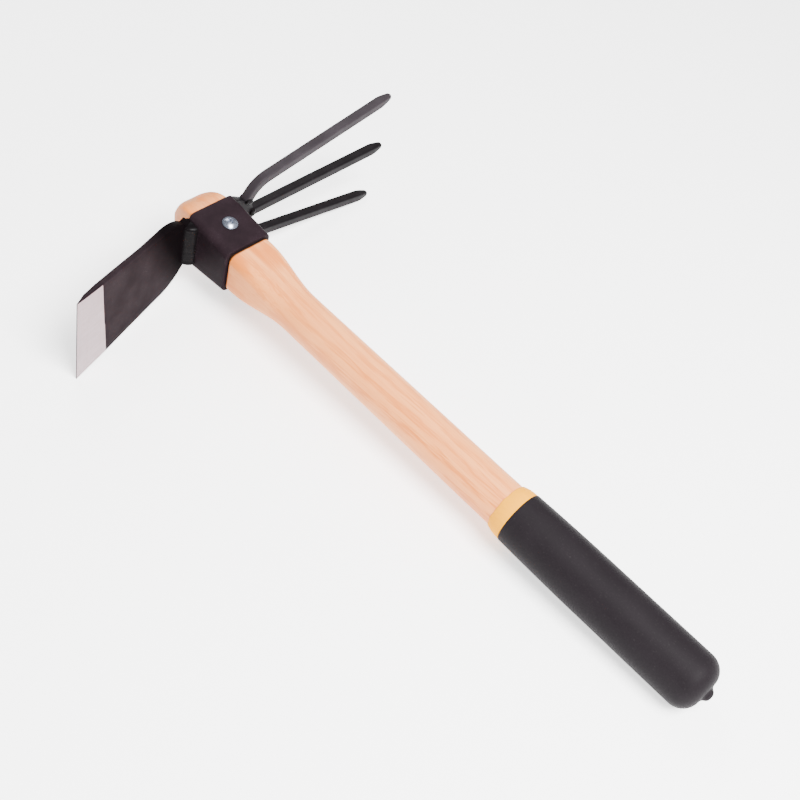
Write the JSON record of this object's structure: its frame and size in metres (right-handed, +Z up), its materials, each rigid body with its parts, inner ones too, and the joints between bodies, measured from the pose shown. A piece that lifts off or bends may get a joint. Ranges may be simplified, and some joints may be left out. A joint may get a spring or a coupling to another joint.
{
  "type": "hand cultivator",
  "caption": "Hand cultivator: a hoe blade and three steel tines welded to a box socket on a short wooden handle with a rubber grip.",
  "frame": {"origin": "bottom centre of the bounding box, on the surface the tool rests on", "axes": "+Y along the handle from the grip towards the head, +X towards the tines, +Z up out of the face with the screw"},
  "size_m": [0.2512, 0.393, 0.0836],
  "materials": {
    "wood": "clear satin lacquer",
    "black_steel": "satin black coating",
    "weld": "coated weld bead",
    "zinc": "bright zinc plate",
    "yellow_rubber": "satin moulded rubber",
    "black_rubber": "matt moulded rubber"
  },
  "bodies": {
    "root": {"handle": "wood", "head_socket": "black_steel", "socket_seam_weld": "weld", "hoe_blade": "black_steel", "blade_weld_front": "weld", "blade_weld_back": "weld", "tine_root_plate": "black_steel", "plate_weld": "weld", "tine_upper": "black_steel", "tine_middle": "black_steel", "tine_lower": "black_steel", "tine_weld_upper": "weld", "tine_weld_middle": "weld", "tine_weld_lower": "weld", "fixing_screw": "zinc", "grip_collar": "yellow_rubber", "grip_sleeve": "black_rubber"}
  },
  "joints": []
}
